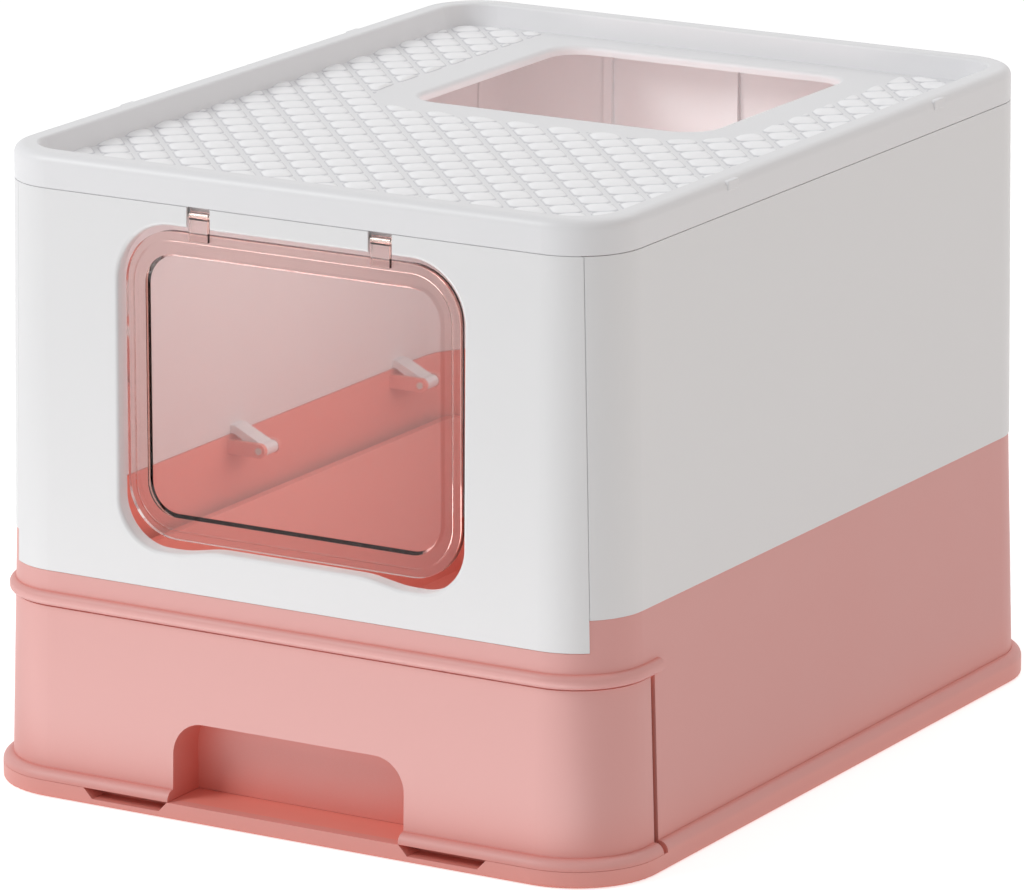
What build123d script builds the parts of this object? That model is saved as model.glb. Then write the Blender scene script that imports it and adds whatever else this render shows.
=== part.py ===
"""Drawer litter box: a foldable cabin with a top entry and a swing flap over a pull-out litter drawer.

Millimetres, +Z up. X runs across the box, +Y points to the back, and the origin is the centre of the
base on the floor. The front, with the flap and the drawer, faces -Y.
"""
import os
from math import sqrt

from build123d import *

# ---------------------------------------------------------------- driving dimensions
# cabin walls, measured at the seam under the lid
BODY_WIDTH = 390.0
BODY_DEPTH = 500.0
CORNER_RADIUS = 38.0
WALL = 2.5
WHITE_DRAFT = 0.0125          # outward lean of the white walls, going down
PINK_DRAFT = 0.03             # outward lean of the pink walls, going down
PINK_INSET = 0.5              # step from the white walls in to the pink ones
SEAM_GAP = 0.5                # open joint between neighbouring wall panels
FACE_GAP = 0.3                # gap under a panel that stands on a wall
SHADOW_LINE_DEPTH = 0.8       # outer part of an end panel's top edge, lowered by the seam gap

# heights, each piece's own, stacked up from the floor
BASE_TOP = 9.3                # top of the base plate
STRIP_BOTTOM = 108.5          # lower edge of the strip over the drawer
STRIP_HEIGHT = 19.5           # up to the front and back panels
SIDE_WALL_RISE = 18.0         # how much further up the pink side walls reach
DOOR_SILL_HEIGHT = 21.5       # from the front panel's foot up to the flap opening
DOOR_HOLE_HEIGHT = 183.0
DOOR_HOLE_DROP = 12.1         # from the lid seam down to the opening
DECK_RISE = 5.3               # deck over the lid seam
RIM_HEIGHT = 18.9             # lid rim over the lid seam
END_SEAM = STRIP_BOTTOM + STRIP_HEIGHT
SIDE_SEAM = END_SEAM + SIDE_WALL_RISE
DOOR_HOLE_BOTTOM = END_SEAM + DOOR_SILL_HEIGHT
DOOR_HOLE_TOP = DOOR_HOLE_BOTTOM + DOOR_HOLE_HEIGHT
LID_SEAM = DOOR_HOLE_TOP + DOOR_HOLE_DROP
DECK_TOP = LID_SEAM + DECK_RISE
RIM_TOP = LID_SEAM + RIM_HEIGHT
HALF_WIDTH = BODY_WIDTH / 2
HALF_DEPTH = BODY_DEPTH / 2

# where the panels and the drawer front divide, measured in from the front face
PANEL_SEAM_INSET = 7.0
DRAWER_WRAP = 46.0            # how far the drawer front wraps round the corners
DRAWER_GROOVE = 4.5
BEAD_WRAP = 55.0
PANEL_SEAM_Y = HALF_DEPTH - PANEL_SEAM_INSET
DRAWER_SEAM_Y = HALF_DEPTH - DRAWER_WRAP
BEAD_END_Y = HALF_DEPTH - BEAD_WRAP

# lid
RIM_WIDTH = 13.5
RIM_SLOPE = 3.0
RIM_OUTER_ROUND = 5.5
RIM_INNER_ROUND = 2.0
DECK_THICKNESS = 1.6
ENTRY_WIDTH = 192.4
ENTRY_DEPTH = 181.6
ENTRY_BACK_MARGIN = 37.9      # from the entry to the back wall
ENTRY_CENTRE_Y = HALF_DEPTH - ENTRY_BACK_MARGIN - ENTRY_DEPTH / 2
ENTRY_RADIUS = 20.0
ENTRY_ROUND = 3.0
COLLAR_DROP = 3.7             # how far the collar round the entry hangs below the deck
NIB_LENGTH = 12.0
NIB_WIDTH = 3.4
NIB_HEIGHT = 5.5
NIB_PROUD = 0.8               # how far a nib stands out of the lid's side
NIB_DROP = 1.2                # from the rim's top down to the nib's
NIB_ROUND = 0.7
NIB_FRONT_INSET = 139.0
NIB_REAR_INSET = 120.0
LID_TAB_WIDTH = 40.0
LID_TAB_THICKNESS = 2.0
LID_TAB_REACH = 1.8           # how far a locating tab reaches down inside a panel
LID_TAB_INSET = 75.0          # from the sides to the middle of the outer tabs
TAB_CLEARANCE = 0.3

# flap opening in the front panel
DOOR_HOLE_WIDTH = 220.0
DOOR_HOLE_TOP_RADIUS = 34.0
DOOR_HOLE_BOTTOM_RADIUS = 28.0
SILL_RISE = 4.0
SILL_TOP_WIDTH = 96.0
SILL_FOOT_WIDTH = 140.0
SILL_BLEND = 60.0
LIP_FOLD_GAP = 0.4            # keeps the lip out of the side panels' sweep
LIP_BACK_Y = -PANEL_SEAM_Y - LIP_FOLD_GAP
HOLE_ROUND = 2.0

# flap and its hinge
FLAP_SIDE_GAP = 4.0
FLAP_TOP_GAP = 3.5
FLAP_SILL_GAP = 2.4
FLAP_BACK_SET = 0.1           # how far the flap's back lies inside the lip's end
FLAP_THICKNESS = 4.3
FLAP_RADIUS = 31.0
FLAP_RIM = 4.5                # raised outer rim
FLAP_GROOVE = 0.8
FLAP_GROOVE_DEPTH = 0.7
DISH_INSET = 12.6             # from the flap's edge to the top of the dish
DISH_SLOPE = 1.5              # width of the dish's steep side
DISH_DEPTH = 2.8
HINGE_INSET = 2.6             # hinge axis behind the front face
HINGE_DROP = 5.1              # and below the lid seam
HINGE_Y = -HALF_DEPTH + HINGE_INSET
HINGE_Z = LID_SEAM - HINGE_DROP
ARM_SPACING = 115.0
ARM_WIDTH = 12.0
ARM_THICKNESS = 2.2
ARM_FOOT = 3.5                # how far an arm laps over the flap's top edge
KNUCKLE_RADIUS = 2.3
SLOT_SIDE_GAP = 1.5
CHEEK_WIDTH = 5.0
WEB_THICKNESS = 1.4           # web that ties the cheeks together behind each arm
WEB_GAP = 0.3
DOOR_PIN_RADIUS = 1.2
DOOR_PIN_LENGTH = 23.0
PIN_CLEARANCE = 0.05

# fold hinges of the side panels
FOLD_INSET = 21.5             # fold axis in from the wall
FOLD_DROP = 7.0               # and below the side seam
FOLD_STATION_INSET = 69.0     # outer stations in from the ends
FOLD_X = HALF_WIDTH - FOLD_INSET
FOLD_Z = SIDE_SEAM - FOLD_DROP
FOLD_KNUCKLE_WIDTH = 12.0
FOLD_KNUCKLE_RADIUS = 3.8
FOLD_EAR_THICKNESS = 3.0
FOLD_EAR_GAP = 0.4
FOLD_EAR_HEIGHT = 8.4
FOLD_ARM_THICKNESS = 3.0
FOLD_ARM_PAD = 5.0
FOLD_PIN_RADIUS = 2.0
FOLD_PIN_OVERHANG = 0.6

# panel tongues that stand inside the pink walls
TONGUE_WIDTH = 40.0
TONGUE_THICKNESS = 2.0
TONGUE_DROP = 12.0
TONGUE_ROOT = 8.0
TONGUE_INSET = 70.0           # from the sides to the middle of the outer tongues
BACK_RIB_INSET = 109.0        # from the sides to the outer ribs
BACK_RIB_WIDTH = 5.5
BACK_RIB_DEPTH = 3.2

# strip bead and base flange
BEAD_HEIGHT = 8.0
BEAD_PROJECTION = 3.6
BEAD_ROUND = 3.4
FLANGE_PROJECTION = 6.0
FLANGE_BEAD_HEIGHT = 6.0
FLANGE_FOOT_ROUND = 1.5
PLATE_THICKNESS = 2.8
SKIRT_WIDTH = 6.0
SEAT_CLEARANCE = 0.15         # between the flange and the wall that stands inside it
LIP_DEPTH = 20.0              # solid depth of the front lip
NOTCH_SPACING = 204.3         # between the middles of the two notches
NOTCH_TOP_WIDTH = 55.0
NOTCH_FOOT_WIDTH = 44.0
NOTCH_FLOOR = 3.5
NOTCH_DEPTH = 13.0
FOOT_RIB_WIDTH = 4.0
FOOT_RIB_INSET = 85.0         # from the sides to the outer foot ribs

# drawer
SLIDE_GAP = 0.2               # running gap under the drawer
DRAWER_TOP_GAP = 0.8          # and over it
DRAWER_TOP = STRIP_BOTTOM - DRAWER_TOP_GAP
TRAY_SIDE_GAP = 5.5
TRAY_BACK_GAP = 5.5
TRAY_RIM_WIDTH = 4.0
TRAY_RIM_HEIGHT = 3.0
TRAY_WALL = 2.2
TRAY_TAPER = 8.0
TRAY_RADIUS = 24.0
TRAY_DROP = 1.7               # tray rim below the drawer front's top
LEDGE_THICKNESS = 2.5
RECESS_WIDTH = 148.6
RECESS_HEIGHT = 45.6
RECESS_RADIUS = 19.0
RECESS_DEPTH = 20.0           # back of the recess behind the front face at the lid seam
RECESS_TOP = BASE_TOP + RECESS_HEIGHT
RECESS_BACK_Y = -HALF_DEPTH + RECESS_DEPTH

LARGE = 700.0                 # longer than the whole box, for cutting tools

# ---------------------------------------------------------------- shared profiles


def white_offset(z):
    """How far the white wall stands out from its size at the lid seam."""
    return WHITE_DRAFT * (LID_SEAM - z)


def pink_offset(z):
    """How far the pink wall stands out from the white wall's size at the lid seam."""
    return white_offset(SIDE_SEAM) - PINK_INSET + PINK_DRAFT * (SIDE_SEAM - z)


def outline(z, offset):
    """Rounded outline of the box at height z, grown by offset."""
    width = BODY_WIDTH + 2 * offset
    depth = BODY_DEPTH + 2 * offset
    return Plane.XY.offset(z) * RectangleRounded(width, depth, CORNER_RADIUS + offset)


def block(z_low, z_high, offset_of, inset=0.0):
    """Solid between two heights inside a drafted wall surface."""
    low = outline(z_low, offset_of(z_low) - inset)
    high = outline(z_high, offset_of(z_high) - inset)
    return loft([low.face(), high.face()], ruled=True)


def shell(z_low, z_high, offset_of):
    """Drafted wall of the box, open at its top and bottom."""
    return block(z_low, z_high, offset_of) - block(z_low - 1, z_high + 1, offset_of, WALL)


def slab(x_low, x_high, y_low, y_high, z_low, z_high):
    """Box given by its limits."""
    centre = ((x_low + x_high) / 2, (y_low + y_high) / 2, (z_low + z_high) / 2)
    return Pos(*centre) * Box(x_high - x_low, y_high - y_low, z_high - z_low)


def cross_rod(radius, x_low, x_high, y, z):
    """Round bar along X."""
    return Pos((x_low + x_high) / 2, y, z) * Rot(0, 90, 0) * Cylinder(radius, x_high - x_low)


def long_rod(radius, x, y_low, y_high, z):
    """Round bar along Y."""
    return Pos(x, (y_low + y_high) / 2, z) * Rot(90, 0, 0) * Cylinder(radius, y_high - y_low)


def upright_profile(sketch, y_front, y_back):
    """Extrude a sketch drawn in X and Z from y_front back to y_back."""
    return extrude(Plane.XZ.offset(-y_back) * sketch, y_back - y_front)


# ---------------------------------------------------------------- lid

LID_SKIRT_INNER = WALL
DECK_UNDER = DECK_TOP - DECK_THICKNESS


def constant(offset):
    """Offset rule for an upright wall."""
    return lambda z: offset


def entry_sketch(grow):
    return RectangleRounded(ENTRY_WIDTH + 2 * grow, ENTRY_DEPTH + 2 * grow, ENTRY_RADIUS + grow)


def make_lid():
    body = block(LID_SEAM, RIM_TOP, constant(0.0))
    top_edges = body.edges().group_by(Axis.Z)[-1]
    body = fillet(top_edges, RIM_OUTER_ROUND)
    recess_low = outline(DECK_TOP, -RIM_WIDTH - RIM_SLOPE).face()
    recess_high = outline(RIM_TOP + 1, -RIM_WIDTH).face()
    body -= loft([recess_low, recess_high], ruled=True)
    rim_edges = body.edges().filter_by(lambda e: abs(e.center().Z - RIM_TOP) < 0.01)
    inner_rim = [e for e in rim_edges if abs(e.center().X) < HALF_WIDTH - RIM_WIDTH + 0.5
                 and abs(e.center().Y) < HALF_DEPTH - RIM_WIDTH + 0.5]
    body = fillet(inner_rim, RIM_INNER_ROUND)
    body -= block(LID_SEAM - 1, DECK_UNDER, constant(0.0), LID_SKIRT_INNER)
    channel = block(DECK_UNDER - 1, RIM_TOP - WALL, constant(0.0), LID_SKIRT_INNER)
    core_low = outline(DECK_UNDER - 2, WALL - RIM_WIDTH - RIM_SLOPE).face()
    core_high = outline(RIM_TOP, WALL - RIM_WIDTH).face()
    channel -= loft([core_low, core_high], ruled=True)
    body -= channel
    entry_place = Pos(0, ENTRY_CENTRE_Y, DECK_UNDER - COLLAR_DROP)
    body += entry_place * extrude(entry_sketch(WALL), COLLAR_DROP + DECK_THICKNESS / 2)
    body -= entry_place * Pos(0, 0, -1) * extrude(entry_sketch(0), COLLAR_DROP + DECK_THICKNESS + 2)
    entry_edges = [e for e in body.edges() if abs(e.center().Z - DECK_TOP) < 0.01
                   and abs(e.center().X) < ENTRY_WIDTH / 2 + 1
                   and abs(e.center().Y - ENTRY_CENTRE_Y) < ENTRY_DEPTH / 2 + 1]
    body = fillet(entry_edges, ENTRY_ROUND)
    nib = fillet(Box(NIB_WIDTH, NIB_LENGTH, NIB_HEIGHT).edges(), NIB_ROUND)
    nib_x = HALF_WIDTH + NIB_PROUD - NIB_WIDTH / 2
    nib_z = RIM_TOP - NIB_DROP - NIB_HEIGHT / 2
    for side in (-1, 1):
        body += Pos(side * nib_x, NIB_FRONT_INSET - HALF_DEPTH, nib_z) * nib
        body += Pos(side * nib_x, HALF_DEPTH - NIB_REAR_INSET, nib_z) * nib
    tab_face = HALF_DEPTH - WALL - TAB_CLEARANCE
    for end in (-1, 1):
        for step in (-1, 0, 1):
            tab_y = end * (tab_face - LID_TAB_THICKNESS / 2)
            tab_x = step * (HALF_WIDTH - LID_TAB_INSET)
            tab_top = RIM_TOP - WALL + 0.5
            tab_height = tab_top - (LID_SEAM - LID_TAB_REACH)
            tab = Box(LID_TAB_WIDTH, LID_TAB_THICKNESS, tab_height)
            body += Pos(tab_x, tab_y, tab_top - tab_height / 2) * tab
    return body


# ---------------------------------------------------------------- front and back panels


def door_hole_sketch():
    """Flap opening: a rounded rectangle with a low raised sill, drawn in X and Z."""
    half = DOOR_HOLE_WIDTH / 2
    sill_top = DOOR_HOLE_BOTTOM + SILL_RISE
    points = [(-half, DOOR_HOLE_BOTTOM), (-SILL_FOOT_WIDTH / 2, DOOR_HOLE_BOTTOM),
              (-SILL_TOP_WIDTH / 2, sill_top), (SILL_TOP_WIDTH / 2, sill_top),
              (SILL_FOOT_WIDTH / 2, DOOR_HOLE_BOTTOM), (half, DOOR_HOLE_BOTTOM),
              (half, DOOR_HOLE_TOP), (-half, DOOR_HOLE_TOP)]
    sketch = Sketch() + Polygon(*points, align=None)
    corners = sketch.vertices()
    top = [v for v in corners if v.Y > DOOR_HOLE_TOP - 1]
    sketch = fillet(top, DOOR_HOLE_TOP_RADIUS)
    low = [v for v in sketch.vertices() if abs(v.X) > half - 1 and v.Y < DOOR_HOLE_BOTTOM + 1]
    sketch = fillet(low, DOOR_HOLE_BOTTOM_RADIUS)
    ramp = [v for v in sketch.vertices() if abs(v.X) < SILL_FOOT_WIDTH / 2 + 1 and v.Y < sill_top + 1]
    return fillet(ramp, SILL_BLEND)


def cut_seam_line(body):
    """Lower the outer part of an end panel's top edge, so that the joint under the lid shows as a line."""
    line_low = LID_SEAM - SEAM_GAP
    ring = block(line_low, LID_SEAM + 1, constant(CORNER_RADIUS))
    return body - (ring - block(line_low, LID_SEAM + 1, constant(0.0), SHADOW_LINE_DEPTH))


def end_panel(front):
    """Plain front (front true) or back wall with its tongues."""
    sign = -1 if front else 1
    seam = PANEL_SEAM_Y + SEAM_GAP / 2
    body = shell(END_SEAM + FACE_GAP, LID_SEAM, white_offset)
    y_near, y_far = sorted((sign * seam, sign * LARGE))
    body &= slab(-LARGE, LARGE, y_near, y_far, 0, LARGE)
    inner_face = HALF_DEPTH + pink_offset(END_SEAM) - WALL - TAB_CLEARANCE
    for step in (-1, 0, 1):
        x_mid = step * (HALF_WIDTH - TONGUE_INSET)
        y_in, y_out = sorted((sign * (inner_face - TONGUE_THICKNESS), sign * inner_face))
        low = END_SEAM - TONGUE_DROP
        body += slab(x_mid - TONGUE_WIDTH / 2, x_mid + TONGUE_WIDTH / 2, y_in, y_out,
                     low, END_SEAM + TONGUE_ROOT)
        root_in, root_out = sorted((sign * (inner_face - TONGUE_THICKNESS),
                                    sign * (inner_face + TAB_CLEARANCE + WALL / 2)))
        body += slab(x_mid - TONGUE_WIDTH / 2, x_mid + TONGUE_WIDTH / 2, root_in, root_out,
                     END_SEAM + FACE_GAP, END_SEAM + TONGUE_ROOT)
    return body


def make_front_panel():
    body = end_panel(True)
    hole = door_hole_sketch()
    lip = offset(hole, WALL)
    lining = upright_profile(lip, -LARGE, LIP_BACK_Y)
    lining &= block(END_SEAM + FACE_GAP, LID_SEAM, white_offset)
    body += lining & slab(-LARGE, LARGE, -LARGE, LARGE, 0, LID_SEAM - FACE_GAP)
    slot_half = ARM_WIDTH / 2 + SLOT_SIDE_GAP
    for side in (-1, 1):
        x_mid = side * ARM_SPACING / 2
        cheek_half = slot_half + CHEEK_WIDTH
        body += slab(x_mid - cheek_half, x_mid + cheek_half, -HALF_DEPTH, LIP_BACK_Y,
                     DOOR_HOLE_TOP, LID_SEAM - FACE_GAP)
    body -= upright_profile(hole, -BODY_DEPTH, LIP_BACK_Y + 1)
    front_edges = [e for e in body.edges() if e.center().Y < -HALF_DEPTH + 0.1
                   and abs(e.center().X) < DOOR_HOLE_WIDTH / 2 + 0.5
                   and DOOR_HOLE_BOTTOM - 1 < e.center().Z < DOOR_HOLE_TOP + 1]
    body = fillet(front_edges, min(HOLE_ROUND, 0.8 * WALL))
    pin_half = DOOR_PIN_LENGTH / 2 + PIN_CLEARANCE
    groove_radius = DOOR_PIN_RADIUS + PIN_CLEARANCE
    web_front = LIP_BACK_Y - WEB_THICKNESS
    web_low = HINGE_Z + ARM_THICKNESS / 2 + WEB_GAP
    for side in (-1, 1):
        x_mid = side * ARM_SPACING / 2
        body -= slab(x_mid - slot_half, x_mid + slot_half, -LARGE, web_front, DOOR_HOLE_TOP - 1, LARGE)
        body -= slab(x_mid - slot_half, x_mid + slot_half, web_front - 1, LARGE, DOOR_HOLE_TOP - 1, web_low)
        body -= cross_rod(groove_radius, x_mid - pin_half, x_mid + pin_half, HINGE_Y, HINGE_Z)
        body -= slab(x_mid - pin_half, x_mid + pin_half, HINGE_Y - groove_radius,
                     HINGE_Y + groove_radius, HINGE_Z, LARGE)
    return cut_seam_line(body)


def make_back_panel():
    body = end_panel(False)
    for step in (-1, 0, 1):
        x_mid = step * (HALF_WIDTH - BACK_RIB_INSET)
        rib = slab(x_mid - BACK_RIB_WIDTH / 2, x_mid + BACK_RIB_WIDTH / 2,
                   HALF_DEPTH - WALL - BACK_RIB_DEPTH, HALF_DEPTH - WALL / 2,
                   END_SEAM + TONGUE_ROOT, LID_SEAM - LID_TAB_REACH - TAB_CLEARANCE)
        body += rib
    return cut_seam_line(body)


# ---------------------------------------------------------------- flap


FLAP_WIDTH = DOOR_HOLE_WIDTH - 2 * FLAP_SIDE_GAP
FLAP_LOW = DOOR_HOLE_BOTTOM + SILL_RISE + FLAP_SILL_GAP
FLAP_HIGH = DOOR_HOLE_TOP - FLAP_TOP_GAP
FLAP_BACK_Y = LIP_BACK_Y - FLAP_BACK_SET
FLAP_FRONT_Y = FLAP_BACK_Y - FLAP_THICKNESS


def flap_sketch(inset):
    """Rounded outline of the flap, drawn in X and Z, shrunk by inset."""
    width = FLAP_WIDTH - 2 * inset
    height = FLAP_HIGH - FLAP_LOW - 2 * inset
    return Pos(0, (FLAP_LOW + FLAP_HIGH) / 2) * RectangleRounded(width, height, FLAP_RADIUS - inset)


def make_door_flap():
    body = upright_profile(flap_sketch(0), FLAP_FRONT_Y, FLAP_BACK_Y)
    dish_top = Plane.XZ.offset(-FLAP_FRONT_Y) * flap_sketch(DISH_INSET)
    dish_floor = Plane.XZ.offset(-FLAP_FRONT_Y - DISH_DEPTH) * flap_sketch(DISH_INSET + DISH_SLOPE)
    body -= loft([dish_top.face(), dish_floor.face()], ruled=True)
    groove = flap_sketch(FLAP_RIM) - flap_sketch(FLAP_RIM + FLAP_GROOVE)
    body -= upright_profile(groove, FLAP_FRONT_Y - 1, FLAP_FRONT_Y + FLAP_GROOVE_DEPTH)
    for side in (-1, 1):
        x_low = side * ARM_SPACING / 2 - ARM_WIDTH / 2
        x_high = x_low + ARM_WIDTH
        arm_back = FLAP_FRONT_Y
        arm = slab(x_low, x_high, arm_back - ARM_THICKNESS, arm_back, FLAP_HIGH - ARM_FOOT, HINGE_Z)
        arm += cross_rod(KNUCKLE_RADIUS, x_low, x_high, HINGE_Y, HINGE_Z)
        body += arm
        body -= cross_rod(DOOR_PIN_RADIUS + PIN_CLEARANCE, x_low - 1, x_high + 1, HINGE_Y, HINGE_Z)
    return body


def make_door_pin(side):
    x_mid = side * ARM_SPACING / 2
    half = DOOR_PIN_LENGTH / 2
    return cross_rod(DOOR_PIN_RADIUS, x_mid - half, x_mid + half, HINGE_Y, HINGE_Z)


# ---------------------------------------------------------------- side panels and their fold hinges


STATION_Y = HALF_DEPTH - FOLD_STATION_INSET
FOLD_STATIONS = {"front": -STATION_Y, "middle": 0.0, "rear": STATION_Y}
FOLD_HALF_SPAN = FOLD_KNUCKLE_WIDTH / 2 + FOLD_EAR_GAP + FOLD_EAR_THICKNESS


def make_side_panel(side):
    z_low = SIDE_SEAM + FACE_GAP
    z_high = LID_SEAM - SEAM_GAP
    body = shell(z_low, z_high, white_offset)
    end = PANEL_SEAM_Y - SEAM_GAP / 2
    body &= slab(0, LARGE, -end, end, 0, LARGE)
    inner_x = HALF_WIDTH - WALL + white_offset(z_low + FOLD_ARM_PAD)
    for y_mid in FOLD_STATIONS.values():
        y_low = y_mid - FOLD_KNUCKLE_WIDTH / 2
        y_high = y_mid + FOLD_KNUCKLE_WIDTH / 2
        pad_high = z_low + FOLD_ARM_PAD
        section = [(inner_x + WALL / 2, z_low + 0.2), (inner_x + WALL / 2, pad_high),
                   (inner_x - FOLD_ARM_THICKNESS, pad_high),
                   (FOLD_X - FOLD_KNUCKLE_RADIUS, FOLD_Z + FOLD_ARM_THICKNESS / 2),
                   (FOLD_X, FOLD_Z - FOLD_KNUCKLE_RADIUS * 0.8), (inner_x - WALL, z_low + 0.2)]
        arm = upright_profile(Polygon(*section, align=None), y_low, y_high)
        body += arm + long_rod(FOLD_KNUCKLE_RADIUS, FOLD_X, y_low, y_high, FOLD_Z)
        body -= long_rod(FOLD_PIN_RADIUS + PIN_CLEARANCE, FOLD_X, y_low - 1, y_high + 1, FOLD_Z)
    if side < 0:
        body = mirror(body, about=Plane.YZ)
    return body


def make_fold_pin(side, y_mid):
    half = FOLD_HALF_SPAN + FOLD_PIN_OVERHANG
    return long_rod(FOLD_PIN_RADIUS, side * FOLD_X, y_mid - half, y_mid + half, FOLD_Z)


# ---------------------------------------------------------------- base shell


def fold_ear(side, y_low, y_high):
    """One ear that carries a fold pin, standing in from the pink wall."""
    wall_x = HALF_WIDTH + pink_offset(FOLD_Z) - WALL / 2
    z_low = FOLD_Z - FOLD_EAR_HEIGHT / 2
    z_high = FOLD_Z + FOLD_EAR_HEIGHT / 2
    x_low, x_high = sorted((side * FOLD_X, side * wall_x))
    ear = slab(x_low, x_high, y_low, y_high, z_low, z_high)
    ear += long_rod(FOLD_EAR_HEIGHT / 2, side * FOLD_X, y_low, y_high, FOLD_Z)
    return ear - long_rod(FOLD_PIN_RADIUS + PIN_CLEARANCE, side * FOLD_X, y_low - 1, y_high + 1, FOLD_Z)


def make_base_shell():
    body = shell(BASE_TOP, SIDE_SEAM, pink_offset)
    for sign in (-1, 1):
        y_near, y_far = sorted((sign * PANEL_SEAM_Y, sign * LARGE))
        body -= slab(-LARGE, LARGE, y_near, y_far, END_SEAM, LARGE)
    bead_base = block(STRIP_BOTTOM, STRIP_BOTTOM + BEAD_HEIGHT, pink_offset, -BEAD_PROJECTION)
    bead_edges = bead_base.edges().group_by(Axis.Z)
    bead = fillet(bead_edges[0] + bead_edges[-1], BEAD_ROUND)
    bead -= block(STRIP_BOTTOM - 1, STRIP_BOTTOM + BEAD_HEIGHT + 1, pink_offset, WALL / 2)
    bead &= slab(-LARGE, LARGE, -LARGE, -BEAD_END_Y, 0, LARGE)
    body += bead
    groove_y = -DRAWER_SEAM_Y + DRAWER_GROOVE
    body -= slab(-LARGE, LARGE, -LARGE, groove_y, 0, STRIP_BOTTOM)
    for side in (-1, 1):
        for y_mid in FOLD_STATIONS.values():
            inner = FOLD_KNUCKLE_WIDTH / 2 + FOLD_EAR_GAP
            body += fold_ear(side, y_mid - inner - FOLD_EAR_THICKNESS, y_mid - inner)
            body += fold_ear(side, y_mid + inner, y_mid + inner + FOLD_EAR_THICKNESS)
    return body


# ---------------------------------------------------------------- base plate

FLANGE_BEAD_TOP = BASE_TOP + FLANGE_BEAD_HEIGHT
FLANGE_OFFSET = pink_offset(FLANGE_BEAD_TOP) + FLANGE_PROJECTION
WALL_FOOT_OFFSET = pink_offset(BASE_TOP)


def flange_bead(z_low):
    """Upper, rounded half of the base flange, from z_low up to the wall."""
    body = block(z_low, FLANGE_BEAD_TOP, constant(FLANGE_OFFSET))
    return fillet(body.edges().group_by(Axis.Z)[-1], FLANGE_BEAD_HEIGHT - 0.5)


def make_base_plate():
    body = block(0, BASE_TOP, constant(FLANGE_OFFSET))
    body = fillet(body.edges().group_by(Axis.Z)[0], FLANGE_FOOT_ROUND)
    seat = block(BASE_TOP - 1, FLANGE_BEAD_TOP + 1, pink_offset, -SEAT_CLEARANCE)
    rim = flange_bead(BASE_TOP) - seat
    rim &= slab(-LARGE, LARGE, -DRAWER_SEAM_Y + DRAWER_GROOVE, LARGE, 0, LARGE)
    body += rim
    under = block(-1, BASE_TOP - PLATE_THICKNESS, constant(FLANGE_OFFSET), SKIRT_WIDTH)
    front_y = -HALF_DEPTH - FLANGE_OFFSET
    under &= slab(-LARGE, LARGE, front_y + LIP_DEPTH, LARGE, -1, LARGE)
    for step in (-1, 0, 1):
        x_mid = step * (HALF_WIDTH - FOOT_RIB_INSET)
        under -= slab(x_mid - FOOT_RIB_WIDTH / 2, x_mid + FOOT_RIB_WIDTH / 2, -LARGE, LARGE, -1, LARGE)
    body -= under
    for side in (-1, 1):
        x_mid = side * NOTCH_SPACING / 2
        points = [(x_mid - NOTCH_TOP_WIDTH / 2, BASE_TOP + 1), (x_mid - NOTCH_TOP_WIDTH / 2, BASE_TOP),
                  (x_mid - NOTCH_FOOT_WIDTH / 2, NOTCH_FLOOR), (x_mid + NOTCH_FOOT_WIDTH / 2, NOTCH_FLOOR),
                  (x_mid + NOTCH_TOP_WIDTH / 2, BASE_TOP), (x_mid + NOTCH_TOP_WIDTH / 2, BASE_TOP + 1)]
        notch = upright_profile(Polygon(*points, align=None), front_y - 1, front_y + NOTCH_DEPTH)
        body -= notch
    return body


# ---------------------------------------------------------------- drawer

TRAY_RIM_TOP = DRAWER_TOP - TRAY_DROP
TRAY_HALF_WIDTH = BODY_WIDTH / 2 + pink_offset(TRAY_RIM_TOP) - WALL - TRAY_SIDE_GAP
TRAY_FRONT_Y = RECESS_BACK_Y + WALL + FACE_GAP
TRAY_BACK_Y = HALF_DEPTH + pink_offset(TRAY_RIM_TOP) - WALL - TRAY_BACK_GAP
TRAY_BOTTOM = BASE_TOP + SLIDE_GAP


def tray_face(z, inset):
    """Rounded plan of the tray at height z, shrunk by inset."""
    width = 2 * (TRAY_HALF_WIDTH - inset)
    depth = TRAY_BACK_Y - TRAY_FRONT_Y - 2 * inset
    place = Pos(0, (TRAY_FRONT_Y + TRAY_BACK_Y) / 2, z)
    return (place * RectangleRounded(width, depth, TRAY_RADIUS - inset)).face()


def make_drawer_tray():
    skin_inset = TRAY_RIM_WIDTH
    body = loft([tray_face(TRAY_BOTTOM, skin_inset + TRAY_TAPER), tray_face(TRAY_RIM_TOP, skin_inset)],
                ruled=True)
    rim = extrude(tray_face(TRAY_RIM_TOP - TRAY_RIM_HEIGHT, 0), TRAY_RIM_HEIGHT)
    rim = fillet(rim.edges().group_by(Axis.Z)[-1], TRAY_RIM_HEIGHT / 2)
    body += rim
    hollow_low = tray_face(TRAY_BOTTOM + TRAY_WALL, skin_inset + TRAY_TAPER + TRAY_WALL)
    hollow_high = tray_face(TRAY_RIM_TOP + 1, skin_inset + TRAY_WALL)
    return body - loft([hollow_low, hollow_high], ruled=True)


def recess_sketch(grow):
    """Arch of the hand recess, drawn in X and Z, open at the bottom."""
    height = RECESS_TOP - BASE_TOP + grow
    width = RECESS_WIDTH + 2 * grow
    arch = Pos(0, BASE_TOP + height / 2) * Rectangle(width, height)
    top = [v for v in arch.vertices() if v.Y > BASE_TOP + 1]
    return fillet(top, RECESS_RADIUS + grow)


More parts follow.
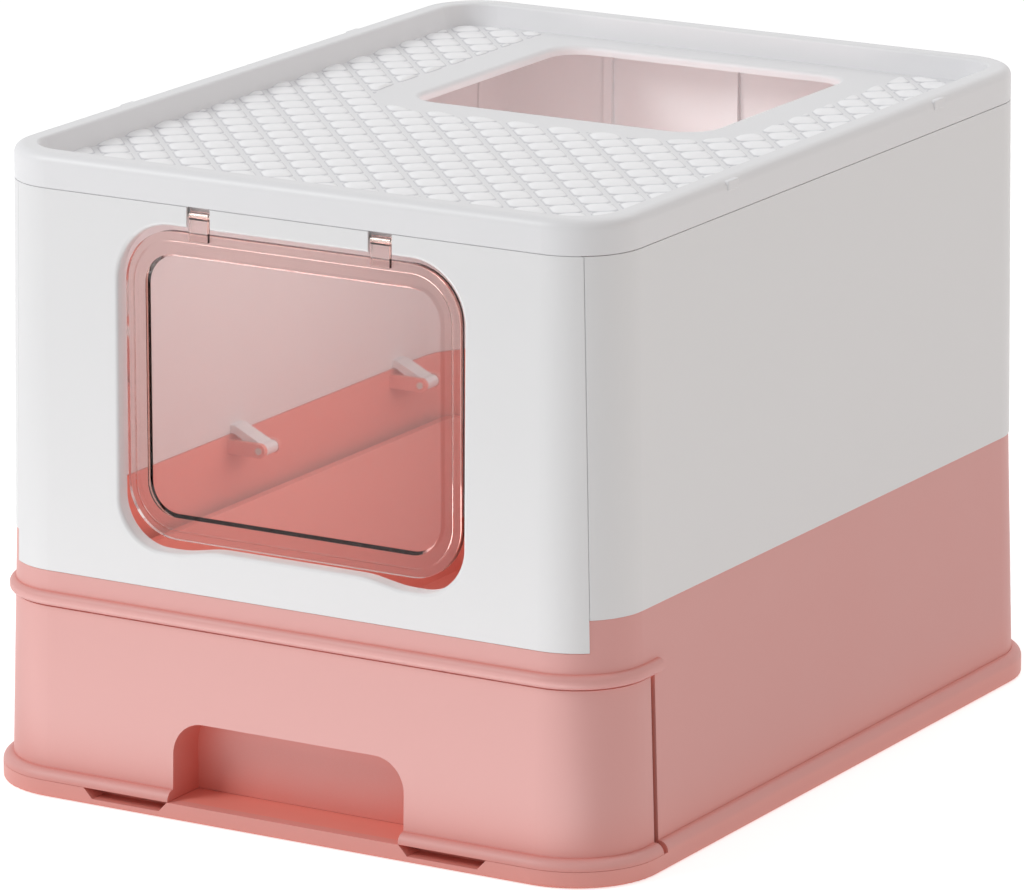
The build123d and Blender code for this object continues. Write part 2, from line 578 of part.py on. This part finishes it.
def make_drawer_front():
    z_low = BASE_TOP + SLIDE_GAP
    body = shell(z_low, DRAWER_TOP, pink_offset)
    ledge = block(DRAWER_TOP - LEDGE_THICKNESS, DRAWER_TOP, pink_offset)
    body += ledge
    bead = flange_bead(z_low) - block(z_low - 1, FLANGE_BEAD_TOP + 1, pink_offset, WALL / 2)
    body += bead
    arch = upright_profile(recess_sketch(WALL), -LARGE, RECESS_BACK_Y + WALL)
    body += arch & block(z_low, DRAWER_TOP, pink_offset)
    body -= upright_profile(recess_sketch(0), -LARGE, RECESS_BACK_Y)
    body &= slab(-LARGE, LARGE, -LARGE, -DRAWER_SEAM_Y, 0, LARGE)
    tray_gap = slab(-TRAY_HALF_WIDTH - FACE_GAP, TRAY_HALF_WIDTH + FACE_GAP, TRAY_FRONT_Y - FACE_GAP,
                    LARGE, 0, LARGE)
    return body - tray_gap


# ---------------------------------------------------------------- writing

SIDES = {"left": -1, "right": 1}


def all_parts():
    """Every node's name and solid."""
    parts = {
        "lid": make_lid(),
        "front_panel": make_front_panel(),
        "back_panel": make_back_panel(),
        "door_flap": make_door_flap(),
        "base_shell": make_base_shell(),
        "base_plate": make_base_plate(),
        "drawer_tray": make_drawer_tray(),
        "drawer_front": make_drawer_front(),
    }
    for name, side in SIDES.items():
        parts["side_panel_" + name] = make_side_panel(side)
        parts["door_hinge_pin_" + name] = make_door_pin(side)
        for station, y_mid in FOLD_STATIONS.items():
            parts["fold_pin_" + name + "_" + station] = make_fold_pin(side, y_mid)
    return parts


os.makedirs("parts", exist_ok=True)
for node, solid in all_parts().items():
    export_step(solid, "parts/" + node + ".step")
    print(node, len(solid.solids()), round(solid.volume / 1000.0, 1), "cm3")
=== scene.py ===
"""Looks of a foldable litter box with a top entry, a swinging flap and a pull-out drawer.

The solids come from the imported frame. This script dresses them in moulded plastics and adds the relief on the
lid's deck, the studio and the camera. Lengths are metres, or millimetres where a name or a comment says so.
+Z is up and the flap faces -Y.
"""
import logging
import math
from dataclasses import dataclass, field
from enum import Enum
from typing import Any, Dict, List, Optional, Sequence, Tuple

import bpy
import numpy as np
from mathutils import Matrix, Vector


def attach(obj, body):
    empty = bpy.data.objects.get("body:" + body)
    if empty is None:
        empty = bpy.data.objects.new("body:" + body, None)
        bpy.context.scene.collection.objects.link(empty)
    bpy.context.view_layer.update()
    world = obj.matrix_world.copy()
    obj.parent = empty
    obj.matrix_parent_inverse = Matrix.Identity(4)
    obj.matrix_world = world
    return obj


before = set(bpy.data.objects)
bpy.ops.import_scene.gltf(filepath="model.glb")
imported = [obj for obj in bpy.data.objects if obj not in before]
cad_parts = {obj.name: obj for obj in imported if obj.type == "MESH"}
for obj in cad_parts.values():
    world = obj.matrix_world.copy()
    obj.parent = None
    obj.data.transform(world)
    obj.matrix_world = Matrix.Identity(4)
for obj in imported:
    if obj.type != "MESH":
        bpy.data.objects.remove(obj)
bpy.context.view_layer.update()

log = logging.getLogger("litter_box")
MM = 0.001
WHITE = "#FFFFFF"
MIX_A, MIX_B, MIX_RESULT = 6, 7, 2    # a Mix node's colour sockets, whose names its other types share
Colour = Tuple[float, float, float, float]
Point = Tuple[float, float, float]
Socket = bpy.types.NodeSocket
Tree = bpy.types.NodeTree


def linear(hex_colour: str) -> Colour:
    """Turn an sRGB hex colour into the linear colour a shader takes.

    Args:
        hex_colour: Six hex digits, with or without a leading hash.

    Returns:
        Red, green, blue and an alpha of one.
    """
    digits = hex_colour.lstrip("#")
    srgb = [int(digits[i:i + 2], 16) / 255 for i in (0, 2, 4)]
    lin = [c / 12.92 if c <= 0.04045 else ((c + 0.055) / 1.055) ** 2.4 for c in srgb]
    return (lin[0], lin[1], lin[2], 1.0)


def add_node(tree: Tree, kind: str, settings: Optional[Dict[Any, Any]] = None,
             links: Optional[Dict[Any, Socket]] = None) -> bpy.types.Node:
    """Add one shader node, set it up and link its inputs.

    Args:
        tree: The node tree that gets the node.
        kind: The node's Blender type name, without the ShaderNode prefix.
        settings: Input values by socket name or number, and node properties by a name starting with a dot.
        links: Output sockets to plug in, by the input's name or number.

    Returns:
        The new node.
    """
    node = tree.nodes.new("ShaderNode" + kind)
    for key, value in (settings or {}).items():
        if isinstance(key, str) and key.startswith("."):
            setattr(node, key[1:], value)
        else:
            node.inputs[key].default_value = value
    for key, socket in (links or {}).items():
        tree.links.new(socket, node.inputs[key])
    return node


def new_material(name: str) -> bpy.types.Material:
    """Start a material with an empty node tree."""
    material = bpy.data.materials.new(name)
    material.use_nodes = True
    material.node_tree.nodes.clear()
    return material


def add_object(name: str, data: bpy.types.ID) -> bpy.types.Object:
    """Put a mesh, a lamp or a camera into the scene."""
    thing = bpy.data.objects.new(name, data)
    bpy.context.scene.collection.objects.link(thing)
    return thing


# ---------------------------------------------------------------- finishes


class PaintedShade(Enum):
    """Where a moulding gets painted shade: a deeper colour that stands in for shade and for light that soaks
    through and bounces about.
    """

    NOWHERE = "nowhere"
    HOLLOWS = "hollows"
    INSIDE = "hollows and the inner skins of the walls"
    FURROWS = "furrows between pads"


@dataclass(frozen=True)
class MouldedPolypropylene:
    """Injection moulded polypropylene with a spark-eroded satin skin.

    The tool's fine texture breaks up reflections, the flow of the melt leaves faint clouds in the gloss, and
    the walls draw in a little as they cool.
    """

    name: str
    hex_colour: str
    roughness: float = 0.42
    ior: float = 1.49
    texture_mm: float = 1.1           # spark-eroded grain is about 0.2 mm; drawn coarser so that it shows
    texture_depth_mm: float = 0.003
    cloud_mm: float = 45.0            # melt flow clouds
    cloud_roughness: float = 0.05
    sink_mm: float = 120.0            # slow waviness of a thin cooled wall
    sink_depth_mm: float = 0.12
    tint_change: float = 0.012
    # painted shade: a deeper colour where shade falls and where bounced light would warm the plastic
    painted_shade: PaintedShade = PaintedShade.NOWHERE
    hex_painted_shade: str = WHITE
    hollow_mm: float = 70.0           # how far a hollow looks for walls around it
    hollow_rays: int = 8
    hollow_range: Tuple[float, float] = (0.15, 0.85)    # how open the spots of full painted shade and of the plain colour are
    corner_mm: Tuple[float, float] = (0.0, 0.0)         # where the walls' corner arcs centre
    corner_radius_mm: float = 43.1    # of the middle of the walls at the floor
    lean: float = 0.03                # how much the walls lean in, going up
    furrow_mm: Tuple[float, float] = (0.0, 0.0)         # heights of the full painted shade and of the plain colour

    def outer_skin(self, tree: Tree, place: Socket) -> Socket:
        """Tell the outer skins of the walls from the inner ones.

        Args:
            tree: The material's nodes.
            place: The object coordinates.

        Returns:
            A socket that is one outside the walls' middle and zero inside.
        """
        any_height = 10.0             # more than the box has, so that height drops out of the distance
        centre = (self.corner_mm[0] * MM, self.corner_mm[1] * MM, any_height)
        size = add_node(tree, "VectorMath", {".operation": "ABSOLUTE"}, {0: place})
        past = add_node(tree, "VectorMath", {".operation": "SUBTRACT", 1: centre}, {0: size.outputs[0]})
        kept = add_node(tree, "VectorMath", {".operation": "MAXIMUM", 1: (0.0, 0.0, 0.0)},
                        {0: past.outputs[0]})
        reach = add_node(tree, "VectorMath", {".operation": "LENGTH"}, {0: kept.outputs[0]})
        up = add_node(tree, "SeparateXYZ", links={0: place}).outputs["Z"]
        upright = add_node(tree, "Math", {".operation": "MULTIPLY_ADD", 1: self.lean},
                           {0: up, 2: reach.outputs["Value"]})
        outside = add_node(tree, "Math", {".operation": "GREATER_THAN", 1: self.corner_radius_mm * MM},
                           {0: upright.outputs[0]})
        return outside.outputs[0]

    def unpainted_share(self, tree: Tree, place: Socket) -> Socket:
        """Tell how much of the plain colour shows at each spot, and how much painted shade.

        Args:
            tree: The material's nodes.
            place: The object coordinates.

        Returns:
            A socket that is one where the plain colour shows alone and zero where the painted shade does.
        """
        if self.painted_shade is PaintedShade.FURROWS:
            low, high = (z * MM for z in self.furrow_mm)
            up = add_node(tree, "SeparateXYZ", links={0: place}).outputs["Z"]
            rise = add_node(tree, "MapRange", {"From Min": low, "From Max": high}, {"Value": up})
            return rise.outputs["Result"]
        low, high = self.hollow_range
        hollow = add_node(tree, "AmbientOcclusion", {".samples": self.hollow_rays,
                                                     "Distance": self.hollow_mm * MM})
        openness = add_node(tree, "MapRange", {"From Min": low, "From Max": high},
                            {"Value": hollow.outputs["AO"]})
        if self.painted_shade is PaintedShade.HOLLOWS:
            return openness.outputs["Result"]
        both = add_node(tree, "Math", {".operation": "MINIMUM"},
                        {0: openness.outputs["Result"], 1: self.outer_skin(tree, place)})
        return both.outputs[0]

    def build(self) -> bpy.types.Material:
        """Make the material.

        Returns:
            The finished node material.
        """
        material = new_material(self.name)
        tree = material.node_tree
        place = add_node(tree, "TexCoord").outputs["Object"]
        grain = add_node(tree, "TexNoise", {"Scale": 1 / (self.texture_mm * MM), "Detail": 3.0,
                                            "Roughness": 0.6}, {"Vector": place})
        cloud = add_node(tree, "TexNoise", {"Scale": 1 / (self.cloud_mm * MM), "Detail": 2.0},
                         {"Vector": place})
        sink = add_node(tree, "TexNoise", {"Scale": 1 / (self.sink_mm * MM), "Detail": 1.0},
                        {"Vector": place})
        gloss = add_node(tree, "MapRange", {"To Min": self.roughness - self.cloud_roughness,
                                            "To Max": self.roughness + self.cloud_roughness},
                         {"Value": cloud.outputs["Fac"]})
        base = linear(self.hex_colour)
        dark = tuple(c * (1 - self.tint_change) for c in base[:3]) + (1.0,)
        tint = add_node(tree, "Mix", {".data_type": "RGBA", MIX_A: dark, MIX_B: base},
                        {"Factor": cloud.outputs["Fac"]})
        colour = tint.outputs[MIX_RESULT]
        # painted shade and painted bounce light: the colour turns to the deeper one in the hollows, inner skins
        # or furrows that the mask finds
        if self.painted_shade is not PaintedShade.NOWHERE:
            shade_mix = add_node(tree, "Mix", {".data_type": "RGBA", MIX_A: linear(self.hex_painted_shade)},
                            {"Factor": self.unpainted_share(tree, place), MIX_B: colour})
            colour = shade_mix.outputs[MIX_RESULT]
        slow = add_node(tree, "Bump", {"Strength": 1.0, "Distance": self.sink_depth_mm * MM},
                        {"Height": sink.outputs["Fac"]})
        fine = add_node(tree, "Bump", {"Strength": 1.0, "Distance": self.texture_depth_mm * MM},
                        {"Height": grain.outputs["Fac"], "Normal": slow.outputs["Normal"]})
        shader = add_node(tree, "BsdfPrincipled", {"IOR": self.ior},
                          {"Base Color": colour, "Roughness": gloss.outputs["Result"],
                           "Normal": fine.outputs["Normal"]})
        add_node(tree, "OutputMaterial", links={"Surface": shader.outputs["BSDF"]})
        return material


@dataclass(frozen=True)
class ClearStyrene:
    """Clear polystyrene, dyed a faint rose smoke and moulded in a polished tool.

    It shows what lies behind it, darkens where light crosses much of it along its edges, and mirrors the room
    sharply. The flow lines only show as a slight unevenness in the mirror.
    """

    name: str
    hex_surface: str
    hex_shadow: str                   # of the light that goes on through the pane
    hex_depth: str                    # colour that long paths through the plastic tend to
    density: float                    # per metre
    roughness: float = 0.02
    gloss_change: float = 0.4         # share by which the roughness wanders
    ior: float = 1.59
    flow_mm: float = 60.0
    flow_depth_mm: float = 0.008

    def build(self) -> bpy.types.Material:
        """Make the material.

        Returns:
            The finished node material.
        """
        material = new_material(self.name)
        tree = material.node_tree
        place = add_node(tree, "TexCoord").outputs["Object"]
        flow = add_node(tree, "TexNoise", {"Scale": 1 / (self.flow_mm * MM), "Detail": 1.0},
                        {"Vector": place})
        wave = add_node(tree, "Bump", {"Strength": 1.0, "Distance": self.flow_depth_mm * MM},
                        {"Height": flow.outputs["Fac"]})
        gloss = add_node(tree, "MapRange", {"To Min": self.roughness * (1 - self.gloss_change),
                                            "To Max": self.roughness * (1 + self.gloss_change)},
                         {"Value": flow.outputs["Fac"]})
        glass = add_node(tree, "BsdfPrincipled", {"Base Color": linear(self.hex_surface), "IOR": self.ior,
                                                  "Transmission Weight": 1.0},
                         {"Roughness": gloss.outputs["Result"], "Normal": wave.outputs["Normal"]})
        # light goes straight on to what the pane shades, as it does through a thin clear sheet
        clear = add_node(tree, "BsdfTransparent", {"Color": linear(self.hex_shadow)})
        path = add_node(tree, "LightPath")
        mix = add_node(tree, "MixShader", links={0: path.outputs["Is Shadow Ray"], 1: glass.outputs["BSDF"],
                                                 2: clear.outputs["BSDF"]})
        dye = add_node(tree, "VolumeAbsorption", {"Color": linear(self.hex_depth), "Density": self.density})
        add_node(tree, "OutputMaterial", links={"Surface": mix.outputs["Shader"],
                                                "Volume": dye.outputs["Volume"]})
        return material


# a cool white satin shell, with wide soft highlights on its corners
WHITE_WALLS = MouldedPolypropylene(
    "white_moulded_polypropylene", "#E8E8E9", roughness=0.46)
# a touch glossier, so that the lid's rim shows as a brighter line
WHITE_LID = MouldedPolypropylene(
    "white_lid_moulded_polypropylene", "#E9E9EB", roughness=0.42)
# the lid's white plastic, with the pads drawn lighter as a painted highlight and the furrows painted grey as
# painted shade, so that they stand out as scales do
WHITE_RELIEF = MouldedPolypropylene(
    "white_relief_moulded_polypropylene", "#F9F9FB", roughness=0.34,
    # the grey furrow colour is painted shade
    painted_shade=PaintedShade.FURROWS, hex_painted_shade="#C4C3C9", furrow_mm=(349.9, 350.45))
# a dusty pink outside; inside the base, the hollows and the inner skins of the walls get a warmer, richer pink
# as painted bounce light and shade
PINK_BASE = MouldedPolypropylene(
    "pink_moulded_polypropylene", "#DEA19C", roughness=0.48,
    painted_shade=PaintedShade.INSIDE, hex_painted_shade="#EC9385", corner_mm=(157.0, 212.0))
# the same pink, with a deeper painted shade and painted bounce light in the hand recess
PINK_DRAWER = MouldedPolypropylene(
    "pink_drawer_moulded_polypropylene", "#DEA39E", roughness=0.48,
    painted_shade=PaintedShade.HOLLOWS, hex_painted_shade="#E07A6A")
# the coral tray seen through the flap, with a deeper painted shade and painted bounce light in its hollows
PINK_TRAY = MouldedPolypropylene(
    "pink_tray_moulded_polypropylene", "#F0A093", roughness=0.42,
    painted_shade=PaintedShade.HOLLOWS, hex_painted_shade="#EC897A")
# a rose haze over the cabin, with dark edges and a sharp mirror
FLAP_CLEAR = ClearStyrene(
    "rose_clear_styrene", hex_surface="#FAF5F4", hex_shadow="#FBF3F1", hex_depth="#D6A090", density=105.0)
# small bone-coloured pin ends, a little shinier than the walls
PIN_ACETAL = MouldedPolypropylene(
    "natural_acetal_turned", "#D8D3CC", roughness=0.35, ior=1.48, texture_mm=0.5)


def dress(node: str, material: bpy.types.Material) -> None:
    """Give a carried-over solid its finish.

    Args:
        node: The solid's name.
        material: The finish for its whole surface.
    """
    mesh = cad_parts[node].data
    mesh.materials.clear()
    mesh.materials.append(material)
    log.info("dressed %s in %s", node, material.name)


# ---------------------------------------------------------------- lid


def past_corner(dx: np.ndarray, dy: np.ndarray, radius: float) -> np.ndarray:
    """Signed distance past a rounded corner.

    Args:
        dx: How far each point lies past the centre of the corner's arc, across the lid.
        dy: The same, along the lid.
        radius: The arc's radius, in the same unit.

    Returns:
        Positive outside the corner.
    """
    round_part = np.hypot(np.maximum(dx, 0), np.maximum(dy, 0))
    return round_part + np.minimum(np.maximum(dx, dy), 0) - radius


@dataclass
class Lid:
    """The lid with the non-slip relief on its deck. All sizes are mm."""

    deck_z: float = 349.9         # top of the deck
    pitch: float = 19.6           # between neighbouring pads
    angle: float = -48.3          # direction of the pad columns, degrees from +X
    column_x: float = -93.3       # a furrow between columns crosses y = 0 here
    row_shift: float = 0.593      # first pad's place along its column, in pads
    pad_height: float = 1.6
    pad_squareness: float = 4.5   # of a pad's outline: 2 gives an ellipse, more gives a squarer one
    pad_flatness: float = 3.6     # of a pad's top: more keeps it flat further out
    column_furrow: float = 3.2    # between columns of pads
    row_furrow: float = 1.6       # between the pads of a column
    steps: int = 14               # mesh steps across one pad
    reach: float = 360.0          # how far out the lattice is drawn before it is trimmed
    half_width: float = 179.2     # the field runs just into the rim's wall
    front: float = -234.2
    back: float = 228.0
    field_radius: float = 22.0    # of the field's corners
    border_half: float = 121.8    # flat border round the entry
    border_front: float = 3.0
    border_radius: float = 48.0
    edge_fade: float = 1.2        # over which the pads run out at the field's edge
    skirt: float = 0.35           # how far the relief's edge sinks into the deck
    skirt_width: float = 2.0
    furrow_sink: float = 0.02     # the deck covers the furrows by this much

    def inside(self, x: np.ndarray, y: np.ndarray) -> np.ndarray:
        """Signed distance of points into the relief's field, in mm.

        Args:
            x: Across the lid.
            y: Along the lid.

        Returns:
            Positive inside the field.
        """
        mid, half = (self.back + self.front) / 2, (self.back - self.front) / 2
        outside = past_corner(np.abs(x) - (self.half_width - self.field_radius),
                              np.abs(y - mid) - (half - self.field_radius), self.field_radius)
        border = past_corner(np.abs(x) - (self.border_half - self.border_radius),
                             self.border_front + self.border_radius - y, self.border_radius)
        return np.minimum(-outside, border)

    def height(self, u: np.ndarray, v: np.ndarray) -> np.ndarray:
        """Height of the pads, in mm, over lattice coordinates counted in pads.

        Args:
            u: Across the columns.
            v: Along the columns.

        Returns:
            The height, zero in the furrows.
        """
        a = 2 * np.abs(u - np.floor(u) - 0.5) / (1 - self.column_furrow / self.pitch)
        b = 2 * np.abs(v - np.floor(v) - 0.5) / (1 - self.row_furrow / self.pitch)
        rim = (a ** self.pad_squareness + b ** self.pad_squareness) ** (1 / self.pad_squareness)
        return self.pad_height * (1 - np.clip(rim, 0, 1) ** self.pad_flatness)

    def build_relief(self, material: bpy.types.Material) -> bpy.types.Object:
        """Mesh the pads on the deck, on a lattice that follows their rows and columns.

        Args:
            material: The relief's finish.

        Returns:
            The relief, riding on the lid.
        """
        turn = math.radians(self.angle)
        along = np.array([math.cos(turn), math.sin(turn)])
        across = np.array([-math.sin(turn), math.cos(turn)])
        origin = np.array([self.column_x, 0.0]) + along * self.row_shift * self.pitch
        pads = int(self.reach / self.pitch) + 2
        line = np.linspace(-pads, pads, 2 * pads * self.steps + 1)
        u, v = np.meshgrid(line, line, indexing="ij")
        x = origin[0] + self.pitch * (u * across[0] + v * along[0])
        y = origin[1] + self.pitch * (u * across[1] + v * along[1])
        depth = self.inside(x, y)
        fade = np.clip(depth / self.edge_fade, 0, 1)
        z = self.deck_z + self.height(u, v) * fade - self.skirt * (1 - fade) - self.furrow_sink
        used = depth > -self.skirt_width
        index = -np.ones(used.shape, int)
        index[used] = np.arange(used.sum())
        corners = [index[:-1, :-1], index[:-1, 1:], index[1:, 1:], index[1:, :-1]]
        quads = np.stack(corners, axis=-1).reshape(-1, len(corners))
        faces = quads[(quads >= 0).all(axis=1)][:, ::-1]
        points = np.stack([x[used], y[used], z[used]], axis=-1) * MM
        mesh = bpy.data.meshes.new("deck_relief")
        mesh.from_pydata(points.tolist(), [], faces.tolist())
        mesh.validate()
        mesh.polygons.foreach_set("use_smooth", [True] * len(mesh.polygons))
        mesh.materials.append(material)
        relief = add_object("deck_relief", mesh)
        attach(relief, "lid")
        return relief

    def build(self) -> None:
        """Dress the lid and add its relief."""
        dress("lid", WHITE_LID.build())
        relief = self.build_relief(WHITE_RELIEF.build())
        log.info("deck relief: %d faces", len(relief.data.polygons))


# ---------------------------------------------------------------- walls, flap, base, drawer and pins


@dataclass
class CabinWalls:
    """The four white wall panels."""

    panels: Sequence[str] = ("front_panel", "back_panel", "side_panel_left", "side_panel_right")

    def build(self) -> None:
        """Dress the wall panels."""
        white = WHITE_WALLS.build()
        for panel in self.panels:
            dress(panel, white)


@dataclass
class FlapDoor:
    """The clear swinging flap."""

    node: str = "door_flap"

    def build(self) -> None:
        """Dress the flap."""
        dress(self.node, FLAP_CLEAR.build())


@dataclass
class PinkBase:
    """The pink wall frame and the floor under it."""

    walls: Sequence[str] = ("base_shell", "base_plate")

    def build(self) -> None:
        """Dress the base."""
        pink = PINK_BASE.build()
        for wall in self.walls:
            dress(wall, pink)


@dataclass
class Drawer:
    """The pull-out tray and its front."""

    finishes: Dict[str, MouldedPolypropylene] = field(
        default_factory=lambda: {"drawer_front": PINK_DRAWER, "drawer_tray": PINK_TRAY})

    def build(self) -> None:
        """Dress the drawer."""
        for node, finish in self.finishes.items():
            dress(node, finish.build())


@dataclass
class HingePins:
    """The plain round pins of the flap and of the folding side walls."""

    word: str = "pin"             # in the name of every pin

    def build(self) -> None:
        """Dress every pin."""
        acetal = PIN_ACETAL.build()
        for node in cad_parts:
            if self.word in node.split("_"):
                dress(node, acetal)


# ---------------------------------------------------------------- studio


@dataclass
class Softbox:
    """A large diffused studio lamp."""

    name: str
    place: Point
    aim: Point
    size: Tuple[float, float]
    watts: float
    hex_colour: str = WHITE
    sheen_only: bool = False      # a card that shows in the gloss and lights nothing else

    def build(self) -> None:
        """Set the lamp up."""
        data = bpy.data.lights.new(self.name, "AREA")
        data.shape = "RECTANGLE"
        data.size, data.size_y = self.size
        data.energy = self.watts
        data.color = linear(self.hex_colour)[:3]
        lamp = add_object(self.name, data)
        lamp.location = self.place
        lamp.rotation_euler = (Vector(self.aim) - Vector(self.place)).to_track_quat("-Z", "Y").to_euler()
        lamp.visible_camera = False
        lamp.visible_diffuse = not self.sheen_only


@dataclass
class CabinGlow:
    """Weak unseen lamps that stand in for the daylight that soaks through thin white walls."""

    watts: float = 0.2            # of each lamp
    radius: float = 0.06
    places: Sequence[Point] = ((0.0, -0.12, 0.25), (0.0, 0.02, 0.25), (0.0, 0.13, 0.25))

    def build(self) -> None:
        """Hang the lamps in the cabin."""
        for number, place in enumerate(self.places):
            data = bpy.data.lights.new(f"cabin_glow_{number}", "POINT")
            data.energy = self.watts
            data.shadow_soft_size = self.radius
            lamp = add_object(data.name, data)
            lamp.location = place
            lamp.visible_camera = False
            lamp.visible_glossy = False
            lamp.visible_transmission = False


@dataclass
class Studio:
    """White sweep, even sky, softboxes and the glow inside the cabin."""

    sky_strength: float = 0.44
    white_strength: float = 1.0   # of the background that the camera sees
    floor_hex: str = "#E8E8E8"
    floor_half: float = 12.0
    floor_drop: float = 0.0005    # keeps the floor clear of the base's underside
    floor_light: float = 0.2      # an evenly lit table, on top of what the lamps give it
    floor_glow: float = 0.62      # what the camera sees on top of the floor's own light
    glow: CabinGlow = field(default_factory=CabinGlow)
    boxes: List[Softbox] = field(default_factory=lambda: [
        Softbox("key_front_left", (-1.9, -2.2, 2.2), (0, 0, 0.2), (1.3, 1.3), 48.0),
        Softbox("sheen_card_front", (-0.15, -0.47, 0.012), (-0.15, -0.47, 1.0), (0.8, 0.38), 3.2,
                sheen_only=True),
        Softbox("top_sheet", (0.3, 1.1, 1.9), (0, 0, 0.3), (1.4, 1.4), 7.5),
        Softbox("warm_right", (3.2, 0.6, 1.2), (0, 0, 0.2), (1.6, 1.6), 9.0, "#FFDCC2"),
    ])

    def seen_directly(self, tree: Tree) -> Socket:
        """Tell the rays that show a backdrop from the rays that carry light.

        Args:
            tree: The material or world that asks.

        Returns:
            A socket that is one for camera, glossy and transmission rays.
        """
        path = add_node(tree, "LightPath")
        first = add_node(tree, "Math", {".operation": "MAXIMUM"},
                         {0: path.outputs["Is Camera Ray"], 1: path.outputs["Is Glossy Ray"]})
        both = add_node(tree, "Math", {".operation": "MAXIMUM"},
                        {0: first.outputs[0], 1: path.outputs["Is Transmission Ray"]})
        return both.outputs[0]

    def build_world(self) -> None:
        """Light the scene evenly and show white behind it."""
        world = bpy.data.worlds.new("studio_white")
        bpy.context.scene.world = world
        world.use_nodes = True
        tree = world.node_tree
        tree.nodes.clear()
        sky = add_node(tree, "Background", {"Color": linear(WHITE), "Strength": self.sky_strength})
        white = add_node(tree, "Background", {"Color": linear(WHITE), "Strength": self.white_strength})
        mix = add_node(tree, "MixShader", links={0: self.seen_directly(tree), 1: sky.outputs[0],
                                                 2: white.outputs[0]})
        add_node(tree, "OutputWorld", links={"Surface": mix.outputs[0]})

    def build_floor(self) -> None:
        """Lay the white floor, which keeps the object's soft shadow."""
        material = new_material("matt_white_paper_sweep")
        tree = material.node_tree
        paper = add_node(tree, "BsdfDiffuse", {"Color": linear(self.floor_hex)})
        table = add_node(tree, "Emission", {"Color": linear(WHITE), "Strength": self.floor_light})
        glow = add_node(tree, "Emission", {"Color": linear(WHITE), "Strength": self.floor_glow})
        seen = add_node(tree, "MixShader", links={0: self.seen_directly(tree), 1: table.outputs[0],
                                                  2: glow.outputs[0]})
        both = add_node(tree, "AddShader", links={0: paper.outputs[0], 1: seen.outputs[0]})
        add_node(tree, "OutputMaterial", links={"Surface": both.outputs[0]})
        half = self.floor_half
        mesh = bpy.data.meshes.new("studio_floor")
        mesh.from_pydata([(-half, -half, 0), (half, -half, 0), (half, half, 0), (-half, half, 0)], [],
                         [(0, 1, 2, 3)])
        mesh.materials.append(material)
        floor = add_object("studio_floor", mesh)
        floor.location.z = -self.floor_drop

    def build(self) -> None:
        """Set up the whole studio."""
        self.build_world()
        self.build_floor()
        self.glow.build()
        for box in self.boxes:
            box.build()


@dataclass
class PhotoCamera:
    """The camera at the photograph's place. Angles are degrees."""

    place: Point = (2.03530, -3.46549, 1.21583)
    azimuth: float = 30.528
    elevation: float = 14.670
    roll: float = -0.012
    lens_mm: float = 256.16
    sensor_mm: float = 36.0
    clip: Tuple[float, float] = (0.1, 60.0)

    def build(self) -> None:
        """Set the camera up and make it the scene's own."""
        a, e = math.radians(self.azimuth), math.radians(self.elevation)
        back = Vector((math.sin(a) * math.cos(e), -math.cos(a) * math.cos(e), math.sin(e)))
        right = Vector((math.cos(a), math.sin(a), 0.0))
        up = back.cross(right)
        data = bpy.data.cameras.new("photo_camera")
        data.sensor_fit = "HORIZONTAL"
        data.sensor_width = self.sensor_mm
        data.lens = self.lens_mm
        data.clip_start, data.clip_end = self.clip
        camera = add_object("photo_camera", data)
        turn = Matrix((right, up, back)).transposed().to_4x4()
        roll = Matrix.Rotation(math.radians(self.roll), 4, "Z")
        camera.matrix_world = Matrix.Translation(self.place) @ turn @ roll
        bpy.context.scene.camera = camera


def main() -> None:
    """Build the dressed litter box and its studio."""
    logging.basicConfig(level=logging.INFO, format="%(name)s: %(message)s")
    bpy.context.scene.view_settings.view_transform = "Standard"
    PhotoCamera().build()
    Studio().build()
    for assembly in (Lid(), CabinWalls(), FlapDoor(), PinkBase(), Drawer(), HingePins()):
        assembly.build()
        log.info("built %s", type(assembly).__name__)
    bpy.context.view_layer.update()


if __name__ == "__main__":
    main()
